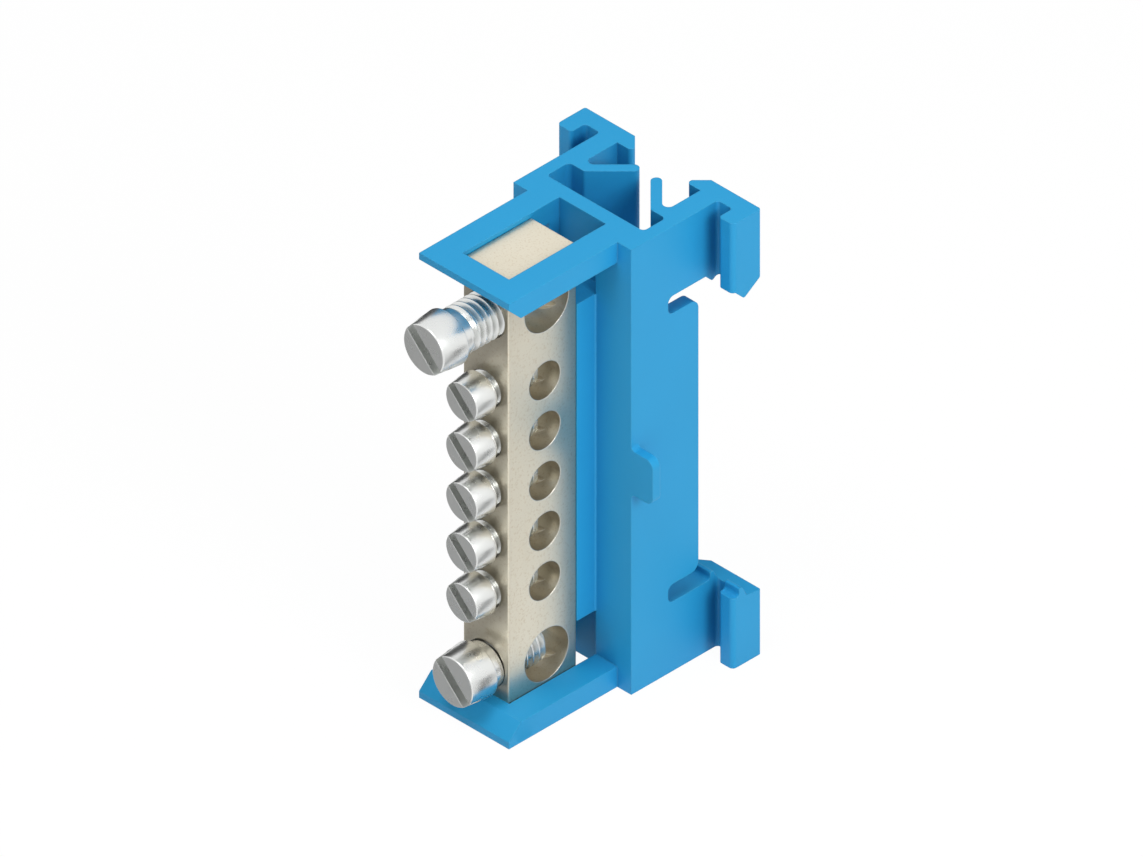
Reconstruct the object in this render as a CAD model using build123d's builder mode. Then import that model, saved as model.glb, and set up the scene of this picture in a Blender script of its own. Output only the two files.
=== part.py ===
from build123d import *
import os

# Neutral terminal bar: a cross-drilled metal bar with seven clamp screws, snapped into a
# one-piece plastic holder that grips the edges of a 35 mm top-hat rail. Millimetres.
# Frame: X runs along the rail and is 0 on the plane of symmetry. Y is 0 on the rail's front
# face and grows towards the rail. Z is 0 at mid-height and points up.

# Terminal bar
bar_width = 6.0
bar_depth = 9.0
bar_end_margin = 5.0
bar_edge_radius = 0.15
tap_floor_margin = 0.5

# Row of small wire holes, and their M4 screws
small_count = 5
small_pitch = 5.75
small_wire_diameter = 4.1
small_wire_depth = 4.8
small_clamped_gap = 1.45
small_thread_diameter = 4.0
small_shank_length = 6.25
small_tip_chamfer = 0.45
small_head_face_diameter = 4.15
small_head_back_diameter = 4.6
small_head_length = 2.4
small_slot_width = 1.0
small_slot_depth = 1.2

# Large wire hole at each end, and its M5 screw
large_spacing = 8.5
large_wire_diameter = 5.8
large_wire_depth = 5.05
large_clamped_gap = 2.0
large_thread_diameter = 5.0
large_shank_length = 7.25
large_tip_chamfer = 0.5
large_head_face_diameter = 5.35
large_head_back_diameter = 5.9
large_head_length = 3.15
large_slot_width = 1.15
large_slot_depth = 1.5

# What all the screws share
thread_clearance = 0.05
head_edge_chamfer = 0.12
slot_angle = -45

# Holder: channel body, open towards the rail
body_width = 15.6
body_front_to_rail = 8.9
front_wall = 3.0
side_wall = 1.4
channel_corner_radius = 0.5

# Holder: rib behind the bar, and plates with windows for the ends of the bar
rib_height = 2.45
rib_end_margin = 7.35
rib_root_radius = 0.2
plate_width = 11.9
plate_thickness = 2.35
plate_front_margin = 2.9
plate_lip = 0.75
bar_recess = 0.5
bar_side_clearance = 0.075
pocket_into_wall = 1.35

# Holder: notch for the rail, with a slot that frees each end of the middle side walls
rail_width = 35.0
rail_play = 0.05
slot_length = 4.0
slot_height = 2.0
slot_end_radius = 0.7
middle_corner_radius = 1.0

# Holder: feet, each a web, a crossbar with lips, and a hook that reaches round the rail's edge
foot_width = 23.3
foot_web = 2.3
crossbar_distance = 2.55
crossbar_thickness = 1.9
outer_lip_width = 1.9
outer_lip_length = 1.85
inner_lip_length = 1.75
inner_lip_bevel = 1.3
lip_radius = 0.4
outer_corner_radius = 0.5
back_corner_radius = 0.25
lip_hook_start = 1.05
lip_hook_drop = 1.15
lip_hook_back_rise = 0.35
web_hook_start = 0.95
web_hook_drop = 0.9
web_hook_back_rise = 1.2
lower_hook_start = 1.55
lower_hook_rise = 1.1
lower_hook_lead = 0.3
lower_hook_root_radius = 0.4
lower_hook_back_fall = 0.6
hook_radius = 0.3

# Holder: spring fingers, which lean at 45 degrees from the webs towards the middle
finger_step = 2.95
finger_inset = 1.1
finger_tip = 1.5
finger_thickness = 1.1
finger_root_radius = 0.6

# Holder: spacing tabs on the sides
tab_height = 5.0
tab_reach = 2.85
tab_thickness = 1.0
tab_corner_radius = 0.9
tab_root_radius = 0.5

# Heights of the holes, and the lengths that follow from them
small_heights = [small_pitch * (index - (small_count - 1) / 2) for index in range(small_count)]
large_height = max(small_heights) + large_spacing
bar_end = large_height + bar_end_margin
holder_top = bar_end + bar_recess

# Faces of the bar and the holder along Y
body_front = -body_front_to_rail
channel_floor = body_front + front_wall
bar_back = body_front - rib_height
bar_front = bar_back - bar_depth
plate_front = bar_front - plate_front_margin
crossbar_back = crossbar_distance + crossbar_thickness

# Faces of the holder along X and Z
body_side = body_width / 2
channel_side = body_side - side_wall
web_inside = body_side - foot_web
finger_start = web_inside - finger_inset
foot_side = foot_width / 2
window_half_width = bar_width / 2 + bar_side_clearance
rib_end = holder_top - rib_end_margin
rail_edge = (rail_width + rail_play) / 2
middle_end = rail_edge - slot_height


def corners(sketch, *points):
    """The corners of a sketch nearest to the points, which are given in the sketch's plane."""
    return [sketch.vertices().sort_by_distance(point)[0] for point in points]


def clamp_screw(height, tip, head, shank, slot):
    """A slotted screw that points along +Y, its head widening towards the underside."""
    face_diameter, back_diameter, head_length = head
    thread_diameter, shank_length, tip_chamfer = shank
    slot_width, slot_depth = slot
    shank_radius = thread_diameter / 2 - thread_clearance
    underside = tip - shank_length
    face = underside - head_length
    with BuildPart() as screw:
        with BuildSketch(Plane.XY.offset(height)) as profile:
            with BuildLine():
                Polyline(
                    (0, face),
                    (face_diameter / 2, face),
                    (back_diameter / 2, underside),
                    (shank_radius, underside),
                    (shank_radius, tip - tip_chamfer),
                    (shank_radius - tip_chamfer, tip),
                    (0, tip),
                    close=True,
                )
            make_face()
            rims = corners(profile, (face_diameter / 2, face), (back_diameter / 2, underside))
            chamfer(rims, head_edge_chamfer)
        revolve(axis=Axis((0, 0, height), (0, 1, 0)))
        with BuildSketch(Plane.XZ.offset(-face)):
            with Locations((0, height)):
                Rectangle(2 * back_diameter, slot_width, rotation=slot_angle)
        extrude(amount=-slot_depth, mode=Mode.SUBTRACT)
    return screw.part


def small_clamp_screw(height):
    """A small screw, turned in until its tip leaves the gap of an average clamped wire."""
    wire_hole_back = small_wire_depth + small_wire_diameter / 2
    return clamp_screw(
        height,
        bar_front + wire_hole_back - small_clamped_gap,
        (small_head_face_diameter, small_head_back_diameter, small_head_length),
        (small_thread_diameter, small_shank_length, small_tip_chamfer),
        (small_slot_width, small_slot_depth),
    )


def large_clamp_screw(height, gap):
    """A large screw, whose tip leaves the stated gap to the back of its wire hole."""
    wire_hole_back = large_wire_depth + large_wire_diameter / 2
    return clamp_screw(
        height,
        bar_front + wire_hole_back - gap,
        (large_head_face_diameter, large_head_back_diameter, large_head_length),
        (large_thread_diameter, large_shank_length, large_tip_chamfer),
        (large_slot_width, large_slot_depth),
    )


# Terminal bar: wire holes run across it, and tapped holes meet them from the front
with BuildPart() as terminal_bar:
    with BuildSketch(Plane.XY.offset(-bar_end)) as bar_section:
        with Locations((0, (bar_front + bar_back) / 2)):
            Rectangle(bar_width, bar_depth)
        fillet(bar_section.vertices(), bar_edge_radius)
    extrude(amount=2 * bar_end)

    hole_rows = [
        (small_heights, small_wire_diameter, small_wire_depth, small_thread_diameter),
        ([-large_height, large_height], large_wire_diameter, large_wire_depth, large_thread_diameter),
    ]
    for heights, wire_diameter, wire_depth, thread_diameter in hole_rows:
        with BuildSketch(Plane.YZ):
            with Locations([(bar_front + wire_depth, height) for height in heights]):
                Circle(wire_diameter / 2)
        extrude(amount=bar_width, both=True, mode=Mode.SUBTRACT)
        with BuildSketch(Plane.XZ.offset(-bar_front)):
            with Locations([(0, height) for height in heights]):
                Circle(thread_diameter / 2)
        tapped_depth = wire_depth + wire_diameter / 2 - tap_floor_margin
        extrude(amount=-tapped_depth, mode=Mode.SUBTRACT)

# The holder is one moulding. Its feet, channel and tabs are drawn as a right half
with BuildPart() as holder:
    # Foot, seen from above, with its spring finger: carried over the full height at first
    thickness_at_45 = finger_thickness * 2 ** 0.5
    finger_corner = thickness_at_45 / 4
    finger_back_sum = finger_start - finger_step + thickness_at_45
    tip_centre_y = finger_start - finger_step + thickness_at_45 / 2 - finger_tip
    tip_front = (finger_tip - finger_corner, tip_centre_y - finger_corner)
    tip_end = (finger_tip - finger_corner, tip_centre_y + finger_corner)
    tip_back = (finger_tip + finger_corner, tip_centre_y + finger_corner)
    finger_root = (web_inside, finger_back_sum - web_inside)
    recess_side = foot_side - outer_lip_width
    lip_front = crossbar_distance - outer_lip_length
    lip_inside = web_inside - inner_lip_length
    with BuildSketch(Plane.XY.offset(-holder_top)) as foot_section:
        with BuildLine():
            Polyline(
                tip_back,
                finger_root,
                (web_inside, crossbar_distance),
                (lip_inside, crossbar_distance),
                (lip_inside, crossbar_back - inner_lip_bevel),
                (lip_inside + inner_lip_bevel, crossbar_back),
                (foot_side, crossbar_back),
                (foot_side, lip_front),
                (recess_side, lip_front),
                (recess_side, crossbar_distance),
                (body_side, crossbar_distance),
                (body_side, -finger_step - side_wall),
                (channel_side, -finger_step - side_wall),
                (channel_side, -finger_step),
                (finger_start, -finger_step),
                tip_front,
            )
            ThreePointArc(tip_front, tip_end, tip_back)
        make_face()
        fillet(corners(foot_section, finger_root), finger_root_radius)
        fillet(corners(foot_section, (channel_side, -finger_step)), channel_corner_radius)
        fillet(corners(foot_section, (foot_side, lip_front)), outer_corner_radius)
        fillet(corners(foot_section, (foot_side, crossbar_back)), back_corner_radius)
        small_corners = corners(
            foot_section,
            (lip_inside, crossbar_distance),
            (recess_side, lip_front),
            (recess_side, crossbar_distance),
            (body_side, crossbar_distance),
            (finger_start, -finger_step),
        )
        fillet(small_corners, lip_radius)
    extrude(amount=2 * holder_top)

    # Space for the rail between the feet, whose outline from the side gives the hooks. The upper
    # one reaches less far across the web than at the outer lip, and its back is steeper there
    hook_split = (body_side + recess_side) / 2
    upper_hooks = [
        (0, hook_split, web_hook_start, web_hook_drop, web_hook_back_rise),
        (hook_split, foot_width, lip_hook_start, lip_hook_drop, lip_hook_back_rise),
    ]
    lower_peak = (lower_hook_start + lower_hook_lead, -rail_edge + lower_hook_rise)
    for first_x, cut_width, hook_start, hook_drop, back_rise in upper_hooks:
        upper_tip = (hook_start + hook_drop, rail_edge - hook_drop)
        with BuildSketch(Plane.YZ.offset(first_x)) as rail_space:
            with BuildLine():
                Polyline(
                    (body_front, rail_edge),
                    (hook_start, rail_edge),
                    upper_tip,
                    (crossbar_back, rail_edge + back_rise),
                    (2 * crossbar_back, rail_edge + back_rise),
                    (2 * crossbar_back, -rail_edge - lower_hook_back_fall),
                    (crossbar_back, -rail_edge - lower_hook_back_fall),
                    (crossbar_distance, -rail_edge - lower_hook_back_fall / 2),
                    lower_peak,
                    (lower_hook_start, -rail_edge + lower_hook_rise - lower_hook_lead),
                    (lower_hook_start, -rail_edge),
                    (body_front, -rail_edge),
                    close=True,
                )
            make_face()
            fillet(corners(rail_space, upper_tip, lower_peak), hook_radius)
            fillet(corners(rail_space, (lower_hook_start, -rail_edge)), lower_hook_root_radius)
        extrude(amount=cut_width, mode=Mode.SUBTRACT)

    # Channel: half the front wall and one side wall, over the full height
    with BuildSketch(Plane.XY.offset(-holder_top)) as channel_section:
        with BuildLine():
            Polyline(
                (0, body_front),
                (body_side, body_front),
                (body_side, 0),
                (channel_side, 0),
                (channel_side, channel_floor),
                (0, channel_floor),
                close=True,
            )
        make_face()
        fillet(corners(channel_section, (channel_side, channel_floor)), channel_corner_radius)
    extrude(amount=2 * holder_top)

    # Slots that free the ends of the middle part, whose back corners are rounded
    with BuildSketch(Plane.YZ) as slots:
        with BuildLine():
            Polyline(
                (-slot_length, rail_edge),
                (-slot_length, middle_end),
                (0, middle_end),
                (0, -middle_end),
                (-slot_length, -middle_end),
                (-slot_length, -rail_edge),
                (web_hook_start / 2, -rail_edge),
                (web_hook_start / 2, rail_edge),
                close=True,
            )
        make_face()
        slot_ends = [(-slot_length, height) for height in (rail_edge, middle_end)]
        slot_ends += [(-slot_length, -height) for height in (rail_edge, middle_end)]
        fillet(corners(slots, *slot_ends), slot_end_radius)
        fillet(corners(slots, (0, middle_end), (0, -middle_end)), middle_corner_radius)
    extrude(amount=foot_width, both=True, mode=Mode.SUBTRACT)

    # Spacing tab, flush with the front of the body
    tab_end = body_side + tab_reach
    root_height = tab_height / 2 + 2 * tab_root_radius
    with BuildSketch(Plane.XZ.offset(body_front_to_rail)) as tab_section:
        with Locations((channel_side, 0)):
            Rectangle(side_wall, 2 * root_height, align=(Align.MIN, Align.CENTER))
            Rectangle(side_wall + tab_reach, tab_height, align=(Align.MIN, Align.CENTER))
        tab_ends = corners(tab_section, (tab_end, tab_height / 2), (tab_end, -tab_height / 2))
        fillet(tab_ends, tab_corner_radius)
        tab_roots = corners(tab_section, (body_side, tab_height / 2), (body_side, -tab_height / 2))
        fillet(tab_roots, tab_root_radius)
    extrude(amount=-tab_thickness)

    mirror(about=Plane.YZ)

    # Plates at both ends, with a lead-in under the front edge for snapping the bar in
    lead_in = plate_thickness - plate_lip
    with BuildSketch(Plane.YZ):
        with BuildLine():
            Polyline(
                (body_front, holder_top),
                (plate_front, holder_top),
                (plate_front, holder_top - plate_lip),
                (plate_front + lead_in, holder_top - plate_thickness),
                (body_front, holder_top - plate_thickness),
                close=True,
            )
        make_face()
        mirror(about=Plane.XZ)
    extrude(amount=plate_width / 2, both=True)

    # Window for each end of the bar, which goes on into the front wall as a pocket
    window_back = body_front + pocket_into_wall
    for pocket_floor in (rib_end, -holder_top):
        with BuildSketch(Plane.XY.offset(pocket_floor)):
            with Locations((0, (bar_front + window_back) / 2)):
                Rectangle(2 * window_half_width, window_back - bar_front)
        extrude(amount=rib_end_margin, mode=Mode.SUBTRACT)

    # Rib that backs the bar between the pockets, with a small fillet along both its roots
    with BuildSketch(Plane.XY.offset(-rib_end)) as rib_section:
        with Locations((0, body_front)):
            Rectangle(2 * window_half_width, rib_height, align=(Align.CENTER, Align.MAX))
            Rectangle(plate_width, rib_root_radius, align=(Align.CENTER, Align.MIN))
        rib_roots = [(side * window_half_width, body_front) for side in (-1, 1)]
        fillet(corners(rib_section, *rib_roots), rib_root_radius)
    extrude(amount=2 * rib_end)

# The upper large screw is backed out until its wire hole is clear, the lower one is turned in
pieces = {
    "holder": holder.part,
    "terminal_bar": terminal_bar.part,
    "large_clamp_screw_top": large_clamp_screw(large_height, large_wire_diameter),
    "large_clamp_screw_bottom": large_clamp_screw(-large_height, large_clamped_gap),
}
for number, height in enumerate(reversed(small_heights), start=1):
    pieces[f"small_clamp_screw_{number}"] = small_clamp_screw(height)

os.makedirs("parts", exist_ok=True)
for name, piece in pieces.items():
    piece.label = name
    export_step(piece, f"parts/{name}.step")
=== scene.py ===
# %% [markdown]
# # A terminal bar on its rail holder
# The object is a nickel-plated brass bar, cross-drilled for wires, with seven slotted clamp
# screws. A light blue plastic holder carries it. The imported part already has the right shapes
# for the holder and the bar, so they stay, and only get their finishes. The screws of the
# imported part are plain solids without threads, so each is made again here.

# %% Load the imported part
import math

import bmesh
import bpy
import numpy as np
from mathutils import Matrix, Vector


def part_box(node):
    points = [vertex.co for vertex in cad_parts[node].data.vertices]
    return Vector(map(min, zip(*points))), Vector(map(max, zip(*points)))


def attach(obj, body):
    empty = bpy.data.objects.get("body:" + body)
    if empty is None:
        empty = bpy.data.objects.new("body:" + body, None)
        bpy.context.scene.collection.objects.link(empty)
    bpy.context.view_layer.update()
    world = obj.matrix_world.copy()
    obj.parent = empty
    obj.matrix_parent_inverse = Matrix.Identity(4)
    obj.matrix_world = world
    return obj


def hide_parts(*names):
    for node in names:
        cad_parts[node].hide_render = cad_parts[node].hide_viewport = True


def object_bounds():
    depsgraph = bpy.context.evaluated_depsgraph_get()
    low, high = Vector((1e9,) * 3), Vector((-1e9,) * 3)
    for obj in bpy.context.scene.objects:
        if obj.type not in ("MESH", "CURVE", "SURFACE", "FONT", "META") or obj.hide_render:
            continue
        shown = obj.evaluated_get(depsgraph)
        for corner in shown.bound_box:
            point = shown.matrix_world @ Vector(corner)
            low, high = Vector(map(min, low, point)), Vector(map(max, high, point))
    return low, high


MM = 0.001
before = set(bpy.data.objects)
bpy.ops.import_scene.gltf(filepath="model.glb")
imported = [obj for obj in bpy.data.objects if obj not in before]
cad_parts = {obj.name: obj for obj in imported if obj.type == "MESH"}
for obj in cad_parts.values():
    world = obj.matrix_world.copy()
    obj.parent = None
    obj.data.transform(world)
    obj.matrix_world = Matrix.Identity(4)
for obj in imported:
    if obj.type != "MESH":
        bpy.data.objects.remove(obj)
cad_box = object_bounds()
print("CAD box, mm:", [[round(value / MM, 2) for value in corner] for corner in cad_box])

# %% [markdown]
# ## Camera
# The photograph shows parallel edges as parallel lines, at the three directions of an isometric
# view. A perspective camera from far away would come close to that, but an orthographic camera
# is exact: only its direction, its aim and the width of its view matter.

# %% Camera
VIEW_FROM = Vector((1, -1, 1)).normalized()
VIEW_CENTRE = Vector((0, -0.00901, 0.00121))
VIEW_WIDTH = 0.10702
CAMERA_DISTANCE = 0.5

camera_data = bpy.data.cameras.new("camera")
camera_data.type = "ORTHO"
camera_data.ortho_scale = VIEW_WIDTH
camera_data.clip_start = 0.01
camera_data.clip_end = 5
camera = bpy.data.objects.new("camera", camera_data)
camera.location = VIEW_CENTRE + CAMERA_DISTANCE * VIEW_FROM
camera.rotation_euler = VIEW_FROM.to_track_quat("Z", "Y").to_euler()
bpy.context.scene.collection.objects.link(camera)
bpy.context.scene.camera = camera
bpy.context.scene.view_settings.view_transform = "Standard"
print("view width, mm:", round(VIEW_WIDTH / MM, 1))

# %% [markdown]
# ## Shader maths as sums
# A material is a graph of nodes. It could be made with one line for each node and each link,
# but a long graph is then hard to read. Here a small class wraps a node's output, and its
# operators add the Math nodes, so that a pattern can be written down as a sum.

# %% One output of a node
class Wire:
    """One output of a node. Each operator on it makes the Math node for that sum."""

    def __init__(self, graph, socket):
        self.graph = graph
        self.socket = socket

    def math(self, operation, first, second):
        return self.graph.node("ShaderNodeMath", {"operation": operation}, {0: first, 1: second})

    def __add__(self, other):
        return self.math("ADD", self, other)

    def __sub__(self, other):
        return self.math("SUBTRACT", self, other)

    def __rsub__(self, other):
        return self.math("SUBTRACT", other, self)

    def __mul__(self, other):
        return self.math("MULTIPLY", self, other)

    __radd__ = __add__
    __rmul__ = __mul__


print("made the class:", Wire.__name__)

# %% [markdown]
# A second class holds the graph itself. One method makes every node: its settings come first,
# because they decide which sockets it has, and then the values and links of its sockets. The
# nodes that come back most often, a mix of two colours, a noise and a ramp, have short names.

# %% The graph of a material
# The Mix node keeps a pair of sockets for each kind of value. These are the ones for colours.
MIX_FACTOR = 0
MIX_FIRST = 6
MIX_SECOND = 7
MIX_RESULT = 2


class Graph:
    """The node graph of a material or of the world."""

    def __init__(self, owner):
        owner.use_nodes = True
        self.tree = owner.node_tree
        self.tree.nodes.clear()

    def node(self, kind, settings=None, sockets=None, output=0):
        """Makes a node, first its settings and then its sockets, and returns one of its outputs."""
        made = self.tree.nodes.new(kind)
        for name, value in (settings or {}).items():
            setattr(made, name, value)
        for name, value in (sockets or {}).items():
            if isinstance(value, Wire):
                self.tree.links.new(value.socket, made.inputs[name])
            else:
                made.inputs[name].default_value = value
        return Wire(self, made.outputs[output])

    def finish(self, kind, surface):
        """Makes the output node, and links the finished surface to it."""
        made = self.tree.nodes.new(kind)
        self.tree.links.new(surface.socket, made.inputs["Surface"])

    def mix_colour(self, factor, first, second):
        """First colour where the factor is 0, second where it is 1."""
        settings = {"data_type": "RGBA", "clamp_factor": True}
        sockets = {MIX_FACTOR: factor, MIX_FIRST: first, MIX_SECOND: second}
        return self.node("ShaderNodeMix", settings, sockets, MIX_RESULT)

    def noise(self, place, scale, detail=2.0):
        """Cloudy noise from 0 to 1, with about this many patches to a metre."""
        sockets = {"Vector": place, "Scale": scale, "Detail": detail}
        return self.node("ShaderNodeTexNoise", None, sockets)

    def ramp(self, value, start, end):
        """0 below start and 1 above end, with a straight slope between them."""
        sockets = {"Value": value, "From Min": start, "From Max": end}
        return self.node("ShaderNodeMapRange", {"clamp": True}, sockets)


print("made the class:", Graph.__name__)

# %% [markdown]
# ## Floor, background and light
# The object stands in a white studio. A white floor that is only lit never comes out as even
# as the white of the photograph, and more light would bleach the object. So the floor is mostly
# a plain white glow for what the camera sees directly, in a reflection or through something
# clear. For the rays that carry soft light it glows less, like a light table turned low, which
# lifts the undersides. The rest of it is ordinary pale paper, which keeps the object's shadow.

# %% White for the camera and for reflections
WHITE = (1, 1, 1, 1)
FLOOR_HEIGHT = cad_box[0].z
FLOOR_HALF_SIZE = 2.0
FLOOR_GLOW = 1.02
FLOOR_GLOW_SEEN = 0.94
FLOOR_GLOW_FELT = 0.3
FLOOR_PAPER = (0.88, 0.88, 0.88, 1)


def seen_directly(graph):
    """1 for camera, glossy and transmission rays, and 0 for the rays that carry soft light."""
    rays = [graph.node("ShaderNodeLightPath", output=name) for name in
            ("Is Camera Ray", "Is Glossy Ray", "Is Transmission Ray")]
    return rays[0] + rays[1] + rays[2]


def flat_sheet(name, corners):
    """A sheet with four corners, made of one face."""
    mesh = bpy.data.meshes.new(name)
    mesh.from_pydata(corners, [], [(0, 1, 2, 3)])
    sheet = bpy.data.objects.new(name, mesh)
    bpy.context.scene.collection.objects.link(sheet)
    return sheet


def floor_material():
    material = bpy.data.materials.new("white_floor")
    graph = Graph(material)
    paper = graph.node("ShaderNodeBsdfDiffuse", None, {"Color": FLOOR_PAPER})
    glow = graph.node("ShaderNodeEmission", None, {"Color": WHITE, "Strength": FLOOR_GLOW})
    share = FLOOR_GLOW_FELT + seen_directly(graph) * (FLOOR_GLOW_SEEN - FLOOR_GLOW_FELT)
    mixed = graph.node("ShaderNodeMixShader", None, {0: share, 1: paper, 2: glow})
    graph.finish("ShaderNodeOutputMaterial", mixed)
    return material


floor_corners = [(x * FLOOR_HALF_SIZE, y * FLOOR_HALF_SIZE, FLOOR_HEIGHT)
                 for x, y in ((-1, -1), (1, -1), (1, 1), (-1, 1))]
floor = flat_sheet("floor", floor_corners)
floor.data.materials.append(floor_material())
print("floor at z, mm:", round(FLOOR_HEIGHT / MM, 2))

# %% [markdown]
# The world gives soft light from all around. For what the camera sees it is white, as the
# floor is. Three lamps shape the object. The widest, overhead, makes the tops the brightest
# faces, and the one on the right lights the side that the camera sees. The one high in front
# only grazes the front faces, so they stay the darkest. Wide lamps leave no hard shadow, as
# with the cloth boxes of a photographer. Plated metal would mirror the overhead lamp as a
# white patch that hides the finish, so reflections pass it by and meet the white room.

# %% World and lamps
WORLD_LIGHT = 0.20
AIM = Vector((0, -0.01, 0))

world = bpy.data.worlds.new("studio")
bpy.context.scene.world = world
world_graph = Graph(world)
direct = seen_directly(world_graph)
background = world_graph.node("ShaderNodeBackground", None, {
    "Color": WHITE, "Strength": WORLD_LIGHT + direct * (1 - WORLD_LIGHT)})
world_graph.finish("ShaderNodeOutputWorld", background)


def soft_lamp(name, place, size, power):
    """A round lamp that faces the object. Place and size in metres, power in watts."""
    data = bpy.data.lights.new(name, "AREA")
    data.shape = "DISK"
    data.size = size
    data.energy = power
    lamp = bpy.data.objects.new(name, data)
    lamp.location = place
    lamp.rotation_euler = (Vector(place) - AIM).to_track_quat("Z", "Y").to_euler()
    bpy.context.scene.collection.objects.link(lamp)
    print(name, "watts:", power)
    return lamp


overhead_lamp = soft_lamp("overhead_lamp", place=(-0.02, -0.02, 0.45), size=0.45, power=0.58)
overhead_lamp.visible_glossy = False
soft_lamp("front_lamp", place=(0.03, -0.21, 0.45), size=0.20, power=0.60)
soft_lamp("right_lamp", place=(0.37, -0.06, 0.24), size=0.20, power=0.92)

# %% [markdown]
# Bright metal shows what stands round it. In an all-white studio its front faces would turn
# as pale as its top, so a sheet of grey card lies where those faces look, on the floor in front
# and to the left. A turned head mirrors the whole room in narrow bands, and needs dark ones to
# look round. A card that stands on the left gives each head its dark upper edge. A wedge of
# card on the floor to the right gives each a dark band low on its side: the wedge starts under
# the heads and spreads outwards, so heads of every height see it at the same place. Only
# reflections meet the cards, so they leave no mark on the floor and take no light away.

# %% Grey cards
CARD_HEIGHT = FLOOR_HEIGHT + 0.0002
FRONT_CARD_LEFT = -0.16
FRONT_CARD_NEAR = -0.18
FRONT_CARD_FAR = -0.0245
FRONT_CARD_RIGHT_NEAR = -0.055
FRONT_CARD_RIGHT_FAR = 0.005
LEFT_CARD_NEAR = (-0.12, -0.04)
LEFT_CARD_FAR = (-0.03, 0.12)
LEFT_CARD_TOP = 0.05
WEDGE_POINT = Vector((0, -0.025, CARD_HEIGHT))
WEDGE_START = 0.005
WEDGE_END = 0.18
WEDGE_FRONT_ANGLE = 27
WEDGE_BACK_ANGLE = 39


def grey_card(name, shade, corners):
    """A card that only reflections meet."""
    material = bpy.data.materials.new(name)
    graph = Graph(material)
    paper = graph.node("ShaderNodeBsdfDiffuse", None, {"Color": (shade, shade, shade, 1)})
    graph.finish("ShaderNodeOutputMaterial", paper)
    card = flat_sheet(name, corners)
    card.data.materials.append(material)
    card.visible_camera = False
    card.visible_shadow = False
    card.visible_diffuse = False
    return card


def wedge_corner(angle, distance):
    """A place on the floor, at this angle from the X axis and this far from the wedge's point."""
    turned = math.radians(angle)
    return WEDGE_POINT + distance * Vector((math.cos(turned), math.sin(turned), 0))


front_card = grey_card("front_card", shade=0.45, corners=[
    (FRONT_CARD_LEFT, FRONT_CARD_NEAR, CARD_HEIGHT),
    (FRONT_CARD_RIGHT_NEAR, FRONT_CARD_NEAR, CARD_HEIGHT),
    (FRONT_CARD_RIGHT_FAR, FRONT_CARD_FAR, CARD_HEIGHT),
    (FRONT_CARD_LEFT, FRONT_CARD_FAR, CARD_HEIGHT)])
wedge_card = grey_card("wedge_card", shade=0.06, corners=[
    wedge_corner(WEDGE_FRONT_ANGLE, WEDGE_START), wedge_corner(WEDGE_FRONT_ANGLE, WEDGE_END),
    wedge_corner(WEDGE_BACK_ANGLE, WEDGE_END), wedge_corner(WEDGE_BACK_ANGLE, WEDGE_START)])
left_card = grey_card("left_card", shade=0.05, corners=[
    (*LEFT_CARD_NEAR, FLOOR_HEIGHT), (*LEFT_CARD_FAR, FLOOR_HEIGHT),
    (*LEFT_CARD_FAR, LEFT_CARD_TOP), (*LEFT_CARD_NEAR, LEFT_CARD_TOP)])
print("cards:", front_card.name, wedge_card.name, left_card.name)

# %% [markdown]
# ## Edges and creases
# A real mould can't have perfectly sharp edges, and plating rounds the edges of metal. Their
# roundness could be modelled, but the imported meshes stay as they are, so a Bevel node rounds
# the shading instead. Where the rounded direction departs from the true one there is an edge,
# so the same node also gives a mask for it. Slots and inner corners are found by an Ambient
# Occlusion node, which says how much of a place's surroundings is open.

# %% Where the edges and the creases are
BEVEL_SAMPLES = 6
EDGE_START = 0.01
EDGE_END = 0.12
CREASE_SAMPLES = 8


def soft_edges(graph, radius):
    """The normal with its edges rounded, and a mask that is 1 on an edge and 0 on a flat."""
    rounded = graph.node("ShaderNodeBevel", {"samples": BEVEL_SAMPLES}, {"Radius": radius})
    true = graph.node("ShaderNodeNewGeometry", output="Normal")
    agreement = graph.node("ShaderNodeVectorMath", {"operation": "DOT_PRODUCT"},
                           {0: rounded, 1: true}, output="Value")
    return rounded, graph.ramp(1 - agreement, EDGE_START, EDGE_END)


def creases(graph, reach, start, end, alone=False):
    """0 in the open, rising to 1 as more of what lies within reach closes the place in.

    Alone, only the piece's own walls count, and not the floor or its neighbours.
    """
    settings = {"samples": CREASE_SAMPLES, "only_local": alone}
    openness = graph.node("ShaderNodeAmbientOcclusion", settings, {"Distance": reach}, output="AO")
    return graph.ramp(1 - openness, start, end)


def dress(node, material):
    """Puts the material in place of every packed one on a node of the part."""
    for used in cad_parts[node].material_slots:
        used.material = material


print("packed nodes:", len(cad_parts))

# %% [markdown]
# ## Blue plastic
# The holder is injection moulded, with a satin skin. Its shape comes from the imported part, so
# only the finish is made here. One flat blue would look like paint. So slow cloudy noise varies
# the tint, the edges carry a painted highlight in a paler blue and are a little smoother, slots
# and inner corners get painted shade in a deeper blue, and fine noise gives the skin its grain.
# A noise's scale is in patches to a metre, and every radius, reach and depth is in metres.

# %% Plastic
PLASTIC_TINTS = ((0.018, 0.350, 0.690, 1), (0.024, 0.385, 0.745, 1))
PLASTIC_EDGE_HIGHLIGHT = (0.10, 0.52, 0.84, 1)
PLASTIC_EDGE_RADIUS = 0.00014
PLASTIC_SHADE = (0.008, 0.085, 0.24, 1)
PLASTIC_SHADE_REACH = 0.009
PLASTIC_SHADE_RANGE = (0.25, 0.95)
PLASTIC_CLOUDS = 90.0
PLASTIC_GRAIN = 5200.0
PLASTIC_GRAIN_DEPTH = 0.00002


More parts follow.
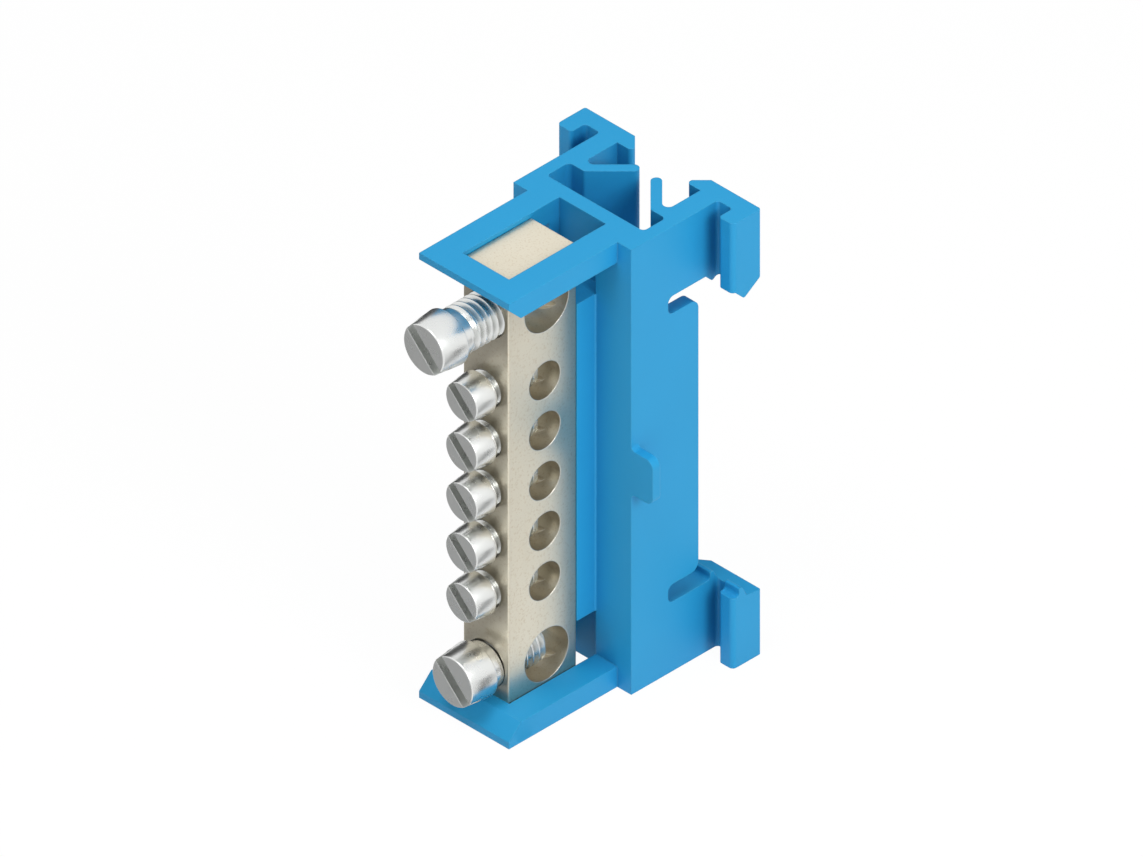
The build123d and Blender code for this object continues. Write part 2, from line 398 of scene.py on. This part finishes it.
def plastic_material():
    material = bpy.data.materials.new("moulded_blue_plastic")
    graph = Graph(material)
    place = graph.node("ShaderNodeTexCoord", output="Object")
    rounded, edge = soft_edges(graph, PLASTIC_EDGE_RADIUS)
    clouds = graph.noise(place, PLASTIC_CLOUDS)
    grain = graph.noise(place, PLASTIC_GRAIN, detail=3.0)
    tint = graph.mix_colour(clouds, *PLASTIC_TINTS)
    # Painted highlight: the edges are mixed towards a paler blue, as if they caught the light.
    highlighted = graph.mix_colour(edge * 0.35, tint, PLASTIC_EDGE_HIGHLIGHT)
    # Painted shade: where the holder's own walls close a place in, and less so the floor and the
    # neighbouring pieces, the blue is mixed towards a deeper blue.
    own_walls = creases(graph, PLASTIC_SHADE_REACH, *PLASTIC_SHADE_RANGE, alone=True)
    all_around = creases(graph, PLASTIC_SHADE_REACH, *PLASTIC_SHADE_RANGE)
    colour = graph.mix_colour(own_walls * 0.48 + all_around * 0.14, highlighted, PLASTIC_SHADE)
    bump = graph.node("ShaderNodeBump", None, {
        "Strength": 0.18, "Distance": PLASTIC_GRAIN_DEPTH, "Height": grain, "Normal": rounded})
    shader = graph.node("ShaderNodeBsdfPrincipled", None, {
        "Base Color": colour, "Roughness": 0.44 + clouds * 0.08 - edge * 0.1,
        "Specular IOR Level": 0.3, "Normal": bump})
    graph.finish("ShaderNodeOutputMaterial", shader)
    return material


plastic = plastic_material()
dress("holder", plastic)
print("holder:", plastic.name)

# %% [markdown]
# ## Nickel-plated brass
# The bar is drawn brass, sawn to length and drilled, then given a dull nickel plate. The plate
# is warm in tone and reflects softly. Drawing leaves faint streaks along the bar, so one noise
# is squeezed across it and stretched along it. Barrel plating leaves fine pits all over. The
# edges carry a painted highlight in a pale colour. Painted shade darkens the plate round and
# between the screws, where their heads and shanks close it in, and less painted shade darkens
# the holes, where the thread and the cramped space keep the plate dark anyway.

# %% Plated brass
NICKEL_TINTS = ((0.77, 0.71, 0.57, 1), (0.83, 0.78, 0.65, 1))
NICKEL_PIT = (0.58, 0.46, 0.30, 1)
NICKEL_EDGE_HIGHLIGHT = (0.95, 0.93, 0.88, 1)
NICKEL_EDGE_RADIUS = 0.00012
NICKEL_PAINTED_SHADE = (0.13, 0.11, 0.075, 1)
NICKEL_SHADE_REACH = 0.006
NICKEL_HOLE_REACH = 0.005
NICKEL_CLOUDS = 260.0
NICKEL_PITS = 4200.0
NICKEL_STREAKS = 1500.0
NICKEL_STREAK_STRETCH = (1, 1, 0.12)
NICKEL_DEPTH = 0.00003


def plated_brass_material():
    material = bpy.data.materials.new("dull_nickel_plate")
    graph = Graph(material)
    place = graph.node("ShaderNodeTexCoord", output="Object")
    along = graph.node("ShaderNodeMapping", None, {"Vector": place, "Scale": NICKEL_STREAK_STRETCH})
    streaks = graph.noise(along, NICKEL_STREAKS, detail=3.0)
    pits = graph.noise(place, NICKEL_PITS)
    clouds = graph.noise(place, NICKEL_CLOUDS, detail=3.0)
    rounded, edge = soft_edges(graph, NICKEL_EDGE_RADIUS)
    tint = graph.mix_colour(clouds, *NICKEL_TINTS)
    pitted = graph.mix_colour(graph.ramp(pits, 0.54, 0.70) * 0.38, tint, NICKEL_PIT)
    # Painted highlight: the edges are mixed towards a pale colour, as if they caught the light.
    highlighted = graph.mix_colour(edge * 0.8, pitted, NICKEL_EDGE_HIGHLIGHT)
    # Painted shade: where the screws or the holes close the plate in, it is mixed towards a dark
    # brown.
    drilled = creases(graph, NICKEL_HOLE_REACH, 0.05, 0.35, alone=True)
    cramped = creases(graph, NICKEL_SHADE_REACH, 0.02, 0.40)
    painted_shade = cramped * (1 - drilled) * 0.46 + drilled * 0.18
    colour = graph.mix_colour(painted_shade, highlighted, NICKEL_PAINTED_SHADE)
    bump = graph.node("ShaderNodeBump", None, {
        "Strength": 0.22, "Distance": NICKEL_DEPTH, "Height": streaks * 0.6 + pits * 0.5,
        "Normal": rounded})
    shader = graph.node("ShaderNodeBsdfPrincipled", None, {
        "Base Color": colour, "Metallic": 0.95, "Roughness": 0.27 + streaks * 0.1 + clouds * 0.06,
        "Normal": bump})
    graph.finish("ShaderNodeOutputMaterial", shader)
    return material


plated_brass = plated_brass_material()
dress("terminal_bar", plated_brass)
print("terminal bar:", plated_brass.name)

# %% [markdown]
# ## Head of a clamp screw
# Each screw is turned: a tapered head with rounded rims, a shank with a rolled thread, and a
# pointed tip. A head could be a cone with a Bevel modifier, but the whole screw is to be one
# surface on a grid, so the head is a profile that will be carried round the axis. All lengths
# of a screw are in millimetres.

# %% The head's profile
RIM_STEPS = 5
FACE_SHARES = (0.0, 0.25, 0.5, 0.7, 0.85)


def rim(centre, radius, start, end):
    """Points of an arc from one angle to the other, each a place along the axis and a radius."""
    angles = np.radians(np.linspace(start, end, RIM_STEPS))
    return np.stack([centre[0] + radius * np.cos(angles), centre[1] + radius * np.sin(angles)], 1)


def head_profile(face, underside, size):
    """From the centre of the face, round both rims of the tapered head, to its underside."""
    rounding = size["rim_radius"]
    flat = [(face, share * size["face_radius"]) for share in FACE_SHARES]
    front_rim = rim((face + rounding, size["face_radius"] - rounding), rounding, 180, 90)
    back_rim = rim((underside - rounding, size["back_radius"] - rounding), rounding, 90, 0)
    return np.vstack([flat, front_rim, back_rim])


print("points in a head's profile:", len(FACE_SHARES) + 2 * RIM_STEPS)

# %% [markdown]
# ## Thread of a clamp screw
# A thread could be a long swept triangle joined to a rod, but that leaves an untidy seam. Here
# the rows of the grid follow the thread's helix, so each row keeps to one part of the profile
# and the crest stays crisp. At both ends of the shank the rows run into a flat ring.

# %% The thread's rows
AROUND = 72
ROWS_PER_TURN = 16
CREST_SHARE = 0.125
ROOT_SHARE = 0.25
THREAD_DEPTH_SHARE = 0.541


def thread_rows(underside, tip, size):
    """Place along the axis, and radius, for each row and each angle of the shank.

    A row starts one pitch before its own place and climbs one pitch in a turn, and is held
    between the underside and the tip. The radius falls from the crest to the root as a
    triangle wave with its top and bottom cut flat. Below the head come the plain turns, then
    the thread fades in over one turn, and the tip's cone trims it.
    """
    pitch = size["pitch"]
    turns = (tip - underside) / pitch
    count = math.ceil((turns + 1) * ROWS_PER_TURN) + 1
    phase = np.arange(count)[:, None] / ROWS_PER_TURN
    turn = np.arange(AROUND)[None, :] / AROUND
    along = np.clip(underside + pitch * (phase - 1 + turn), underside, tip)
    wave = np.abs(2 * np.mod(phase, 1) - 1)
    depth = np.clip((wave - CREST_SHARE) / (1 - CREST_SHARE - ROOT_SHARE), 0, 1)
    fade = np.clip((along - underside) / pitch - size["plain_turns"], 0, 1)
    radius = size["shank_radius"] - THREAD_DEPTH_SHARE * pitch * depth * fade
    cone = size["shank_radius"] - size["tip_chamfer"] + tip - along
    return along, np.minimum(radius, cone)


print("degrees between points round a screw:", 360 / AROUND)

# %% [markdown]
# ## One closed surface
# Head, thread and tip are stacked into one grid. Ring rows close on themselves after a turn. A
# helical row ends one pitch further on than it began, so it closes on the row that lies one
# turn later, and the thread has no seam.

# %% The screw's surface
TIP_SHARES = np.array([0.6, 0.3, 0.0])


def grid_faces(rows, first_helical, last_helical):
    """Four corners for each face of the grid, where the helical rows join up one turn later."""
    number = np.arange(rows * AROUND).reshape(rows, AROUND)
    row = np.arange(rows)
    helical = (row >= first_helical) & (row <= last_helical)
    joined = np.where(helical, np.minimum(row + ROWS_PER_TURN, last_helical), row)
    right = np.hstack([number[:, 1:], number[joined, :1]])
    return np.stack([number[:-1], right[:-1], right[1:], number[1:]], -1).reshape(-1, 4)


def screw_mesh(name, face, underside, tip, size):
    """The closed surface of a screw along Y: each row's radius, turned round the axis."""
    head = head_profile(face, underside, size)
    head_along = np.repeat(head[:, :1], AROUND, 1)
    head_radius = np.repeat(head[:, 1:], AROUND, 1)
    shank_along, shank_radius = thread_rows(underside, tip, size)
    tip_radius = size["shank_radius"] - size["tip_chamfer"]
    cap_radius = np.repeat(TIP_SHARES[:, None] * tip_radius, AROUND, 1)
    along = np.vstack([head_along, shank_along, np.full(cap_radius.shape, tip)])
    radius = np.vstack([head_radius, shank_radius, cap_radius])
    angle = np.broadcast_to(2 * np.pi * np.arange(AROUND) / AROUND, along.shape)
    points = np.stack([radius * np.cos(angle), along, -radius * np.sin(angle)], -1)
    last_helical = len(along) - 1 - len(cap_radius)
    faces = grid_faces(len(along), len(head_along), last_helical)
    mesh = bpy.data.meshes.new(name)
    mesh.from_pydata(points.reshape(-1, 3) * MM, [], faces.tolist())
    return mesh


print("rings that close the tip:", len(TIP_SHARES))

# %% [markdown]
# ## Slot of a screw
# The slot is cut straight across the face, as a saw does. It could be shaped into the grid, but
# cutting it with a Boolean keeps the grid simple. The cutter is a prism whose sides lean out
# near the face, so that the edges of the slot come out slightly broken instead of knife-sharp.

# %% The slot's cutter
SLOT_EDGE = 0.02
SLOT_OVERSHOOT = 0.2
MERGE_DISTANCE = 1e-7
DEGENERATE_LENGTH = 1e-8


def clean(mesh):
    """Merges the points that lie on each other, and turns every face outwards."""
    work = bmesh.new()
    work.from_mesh(mesh)
    bmesh.ops.remove_doubles(work, verts=work.verts, dist=MERGE_DISTANCE)
    bmesh.ops.dissolve_degenerate(work, edges=work.edges, dist=DEGENERATE_LENGTH)
    bmesh.ops.recalc_face_normals(work, faces=work.faces)
    work.to_mesh(mesh)
    work.free()
    return mesh


def slot_cutter(face, width, depth, reach):
    """A prism along the slot: its section in (across, along the axis), carried both ways."""
    across = np.array([-1, -1, -1, 1, 1, 1]) * (width / 2)
    across = across + np.array([0, 0, -1, 1, 0, 0]) * (SLOT_EDGE + SLOT_OVERSHOOT)
    depths = np.array([depth, SLOT_EDGE, -SLOT_OVERSHOOT, -SLOT_OVERSHOOT, SLOT_EDGE, depth])
    ends = np.array([-reach, reach])[:, None]
    x = (across + ends) / math.sqrt(2)
    z = (across - ends) / math.sqrt(2)
    y = np.broadcast_to(face + depths, x.shape)
    points = np.stack([x, y, z], -1).reshape(-1, 3) * MM
    count = len(across)
    sides = [(i, (i + 1) % count, (i + 1) % count + count, i + count) for i in range(count)]
    caps = [tuple(range(count)), tuple(range(count, 2 * count))]
    mesh = bpy.data.meshes.new("slot_cutter")
    mesh.from_pydata(points, [], sides + caps)
    return clean(mesh)


print("slot's broken edge, mm:", SLOT_EDGE)

# %% [markdown]
# ## Zinc plate on the screws
# Bright zinc is nearly a mirror. It could be a plain metal shader, but real plate isn't perfect.
# What makes it look like metal is what it mirrors, so its own colour hardly varies: fine pits,
# a slow change in gloss, and painted shade that darkens the slot and the other narrow creases.

# %% Zinc plate
ZINC_TINTS = ((0.74, 0.755, 0.745, 1), (0.81, 0.82, 0.80, 1))
ZINC_SHADE = (0.12, 0.115, 0.10, 1)
ZINC_SHADE_REACH = 0.0012
ZINC_CLOUDS = 700.0
ZINC_PITS = 6000.0
ZINC_PIT_DEPTH = 0.00001


def zinc_material():
    material = bpy.data.materials.new("bright_zinc_plate")
    graph = Graph(material)
    place = graph.node("ShaderNodeTexCoord", output="Object")
    clouds = graph.noise(place, ZINC_CLOUDS)
    pits = graph.noise(place, ZINC_PITS)
    tint = graph.mix_colour(clouds, *ZINC_TINTS)
    # Painted shade: the slot, the thread's roots and the underside next to the bar are mixed
    # towards dark grey where they are closed in.
    crevice_shade = creases(graph, ZINC_SHADE_REACH, 0.35, 1.0)
    colour = graph.mix_colour(crevice_shade * 0.7, tint, ZINC_SHADE)
    bump = graph.node("ShaderNodeBump", None, {
        "Strength": 0.4, "Distance": ZINC_PIT_DEPTH, "Height": pits})
    shader = graph.node("ShaderNodeBsdfPrincipled", None, {
        "Base Color": colour, "Metallic": 1.0, "Roughness": 0.24 + clouds * 0.08,
        "Normal": bump})
    graph.finish("ShaderNodeOutputMaterial", shader)
    return material


zinc = zinc_material()
print("screws:", zinc.name)

# %% [markdown]
# ## Two sizes of screw
# The small screws are M4 and the large ones M5. Seven screws could be made one by one, but one
# mesh for each size is enough, made with its tip at the origin. After the Boolean it is shaded
# smooth, except where two faces meet at a real edge.

# %% Screws of both sizes
SMALL = {
    "head": 2.4, "face_radius": 2.075, "back_radius": 2.3, "rim_radius": 0.11,
    "slot_width": 1.0, "slot_depth": 1.2,
    "shank": 6.25, "shank_radius": 1.95, "tip_chamfer": 0.45,
    "pitch": 0.7, "plain_turns": 0.0}
LARGE = {
    "head": 3.15, "face_radius": 2.675, "back_radius": 2.95, "rim_radius": 0.14,
    "slot_width": 1.15, "slot_depth": 1.5,
    "shank": 7.25, "shank_radius": 2.45, "tip_chamfer": 0.5,
    "pitch": 0.8, "plain_turns": 1.2}
CUTTER_REACH = 1.5
SHARP_ANGLE = math.radians(34)


def slotted_screw(name, size):
    """The screw's surface with its slot cut, smooth except at its real edges."""
    underside = -size["shank"]
    face = underside - size["head"]
    reach = CUTTER_REACH * size["back_radius"]
    cutter_mesh = slot_cutter(face, size["slot_width"], size["slot_depth"], reach)
    blank = bpy.data.objects.new(name, clean(screw_mesh(name, face, underside, 0.0, size)))
    cutter = bpy.data.objects.new("cutter", cutter_mesh)
    for made in (blank, cutter):
        bpy.context.scene.collection.objects.link(made)
    cut = blank.modifiers.new("slot", "BOOLEAN")
    cut.operation = "DIFFERENCE"
    cut.solver = "EXACT"
    cut.object = cutter
    view = bpy.context.evaluated_depsgraph_get()
    mesh = bpy.data.meshes.new_from_object(blank.evaluated_get(view))
    for made in (blank, cutter):
        bpy.data.objects.remove(made)
    mesh.polygons.foreach_set("use_smooth", np.ones(len(mesh.polygons), dtype=bool))
    mesh.set_sharp_from_angle(angle=SHARP_ANGLE)
    mesh.materials.clear()
    mesh.materials.append(zinc)
    print(name, "faces:", len(mesh.polygons))
    return mesh


small_mesh = slotted_screw("small_screw", SMALL)
large_mesh = slotted_screw("large_screw", LARGE)

# %% [markdown]
# ## Place the screws
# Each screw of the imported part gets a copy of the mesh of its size, with its tip where the
# packed screw has it. The copy replaces the plain solid, and rides on the same body, so that it
# moves in and out of the bar as the solid does.

# %% Seven screws in their places
def place_screw(mesh, node, body):
    """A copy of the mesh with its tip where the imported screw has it."""
    low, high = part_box(node)
    placed = mesh.copy()
    placed.transform(Matrix.Translation(((low.x + high.x) / 2, high.y, (low.z + high.z) / 2)))
    screw = bpy.data.objects.new("threaded_" + node, placed)
    bpy.context.scene.collection.objects.link(screw)
    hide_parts(node)
    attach(screw, body)
    print(screw.name, "tip at y, mm:", round(high.y / MM, 2))


for number in range(1, 6):
    place_screw(small_mesh, f"small_clamp_screw_{number}", f"screw_{number}")
for end in ("top", "bottom"):
    place_screw(large_mesh, f"large_clamp_screw_{end}", f"{end}_screw")
